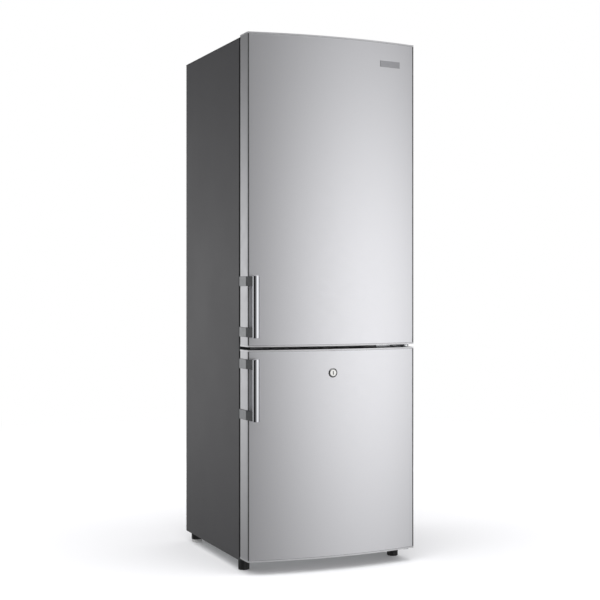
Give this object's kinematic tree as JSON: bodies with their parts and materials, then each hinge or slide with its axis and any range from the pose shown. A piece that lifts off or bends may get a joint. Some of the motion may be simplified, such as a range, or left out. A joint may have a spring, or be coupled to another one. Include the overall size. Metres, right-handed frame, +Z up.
{
  "type": "fridge freezer",
  "caption": "Two-door fridge freezer with a bowed metal front, side bar handles and a lock on the freezer door below.",
  "frame": {"origin": "middle of the outline at floor level, under the feet", "axes": "+Z up, front with the doors faces -Y, +X to the right seen from the front (hinge side)"},
  "size_m": [0.6036, 0.688, 1.7485],
  "materials": {
    "painted_side_steel": "satin",
    "black_plastic": "matte",
    "galvanised_sheet": "satin",
    "insulation_foam": "matte",
    "white_liner": "satin",
    "coated_rail": "satin",
    "plated_hinge_steel": "satin",
    "black_enamel": "satin",
    "black_rubber": "matte",
    "copper_pipe": "satin",
    "anodised_plate": "satin",
    "clear_glass": "polished",
    "white_plastic": "satin",
    "translucent_plastic": "satin",
    "silver_skin": "satin",
    "silver_trim": "satin",
    "silver_cap_plastic": "satin",
    "seal_rubber": "matte",
    "polished_bar": "polished",
    "bracket_metal": "satin",
    "lock_nickel": "polished"
  },
  "bodies": {
    "cabinet": {"left_side_panel": "painted_side_steel", "right_side_panel": "painted_side_steel", "top_lid": "black_plastic", "back_sheet": "galvanised_sheet", "base_plate": "galvanised_sheet", "cabinet_foam": "insulation_foam", "fridge_liner": "white_liner", "freezer_liner": "white_liner", "cross_rails": "coated_rail", "top_hinge": "plated_hinge_steel", "middle_hinge": "plated_hinge_steel", "bottom_hinge": "plated_hinge_steel", "hinge_screws": "plated_hinge_steel", "top_hinge_cover": "black_plastic", "rear_feet": "black_plastic", "compressor": "black_enamel", "compressor_mounts": "black_rubber", "start_relay_box": "black_plastic", "refrigerant_pipes": "copper_pipe", "condenser": "black_enamel", "condenser_brackets": "black_plastic", "drip_tray": "black_plastic", "drain_tube": "white_plastic", "mains_inlet": "black_plastic", "evaporators": "anodised_plate", "glass_shelves": "clear_glass", "shelf_trims": "white_plastic", "control_housing": "white_plastic", "lamp": "clear_glass", "lamp_cover": "translucent_plastic"},
    "front_left_foot": {"front_left_foot": "black_plastic"},
    "front_right_foot": {"front_right_foot": "black_plastic"},
    "thermostat_knob": {"thermostat_knob": "white_plastic"},
    "light_switch": {"light_switch": "white_plastic"},
    "crisper_left": {"crisper_left": "translucent_plastic"},
    "crisper_right": {"crisper_right": "translucent_plastic"},
    "drawer_bottom": {"drawer_bottom": "translucent_plastic"},
    "drawer_middle": {"drawer_middle": "translucent_plastic"},
    "drawer_top": {"drawer_top": "translucent_plastic"},
    "fridge_door": {"upper_door_skin": "silver_skin", "upper_door_trims": "silver_trim", "upper_door_caps": "silver_cap_plastic", "upper_door_core": "insulation_foam", "upper_door_liner": "white_liner", "upper_door_seal": "seal_rubber", "upper_handle_bar": "polished_bar", "upper_handle_brackets": "bracket_metal", "door_shelves": "translucent_plastic"},
    "dairy_flap": {"dairy_flap": "translucent_plastic"},
    "freezer_door": {"lower_door_skin": "silver_skin", "lower_door_trims": "silver_trim", "lower_door_caps": "silver_cap_plastic", "lower_door_core": "insulation_foam", "lower_door_liner": "white_liner", "lower_door_seal": "seal_rubber", "lower_handle_bar": "polished_bar", "lower_handle_brackets": "bracket_metal", "lock_case": "lock_nickel"},
    "lock": {"lock_plug": "lock_nickel", "lock_cam": "plated_hinge_steel"}
  },
  "joints": [
    {"name": "fridge_door_hinge", "type": "hinge", "parent": "cabinet", "child": "fridge_door", "pos_m": [0.27975, -0.26302, 1.2], "axis": [0, 0, 1], "range_deg": [0, 120]},
    {"name": "freezer_door_hinge", "type": "hinge", "parent": "cabinet", "child": "freezer_door", "pos_m": [0.27975, -0.26302, 0.4], "axis": [0, 0, 1], "range_deg": [0, 120]},
    {"name": "light_switch_press", "type": "slide", "parent": "cabinet", "child": "light_switch", "axis": [0, -1, 0], "range_m": [0, 0.006]},
    {"name": "crisper_left_slide", "type": "slide", "parent": "cabinet", "child": "crisper_left", "axis": [0, -1, 0], "range_m": [0, 0.222]},
    {"name": "crisper_right_slide", "type": "slide", "parent": "cabinet", "child": "crisper_right", "axis": [0, -1, 0], "range_m": [0, 0.222]},
    {"name": "drawer_bottom_slide", "type": "slide", "parent": "cabinet", "child": "drawer_bottom", "axis": [0, -1, 0], "range_m": [0, 0.162]},
    {"name": "drawer_middle_slide", "type": "slide", "parent": "cabinet", "child": "drawer_middle", "axis": [0, -1, 0], "range_m": [0, 0.162]},
    {"name": "drawer_top_slide", "type": "slide", "parent": "cabinet", "child": "drawer_top", "axis": [0, -1, 0], "range_m": [0, 0.162]},
    {"name": "thermostat_turn", "type": "hinge", "parent": "cabinet", "child": "thermostat_knob", "pos_m": [0.00175, -0.11003, 1.661], "axis": [0, 1, 0], "range_deg": [0, 270]},
    {"name": "dairy_flap_hinge", "type": "hinge", "parent": "fridge_door", "child": "dairy_flap", "pos_m": [0.00175, -0.22002, 1.5509], "axis": [1, 0, 0], "range_deg": [0, 80]},
    {"name": "lock_turn", "type": "hinge", "parent": "freezer_door", "child": "lock", "pos_m": [-0.01425, -0.32502, 0.644], "axis": [0, 1, 0], "range_deg": [0, 90]},
    {"name": "front_left_foot_screw", "type": "slide", "parent": "cabinet", "child": "front_left_foot", "axis": [0, 0, -1], "range_m": [0, 0.012]},
    {"name": "front_right_foot_screw", "type": "slide", "parent": "cabinet", "child": "front_right_foot", "axis": [0, 0, -1], "range_m": [0, 0.012]}
  ],
  "couplings": [
    {"joint": "light_switch_press", "follows": "fridge_door_hinge", "m_per_rad": 0.002864},
    {"joint": "crisper_left_slide", "follows": "fridge_door_hinge", "m_per_rad": 0.106},
    {"joint": "crisper_right_slide", "follows": "fridge_door_hinge", "m_per_rad": 0.106},
    {"joint": "drawer_bottom_slide", "follows": "freezer_door_hinge", "m_per_rad": 0.077348},
    {"joint": "drawer_middle_slide", "follows": "freezer_door_hinge", "m_per_rad": 0.077348},
    {"joint": "drawer_top_slide", "follows": "freezer_door_hinge", "m_per_rad": 0.077348}
  ]
}
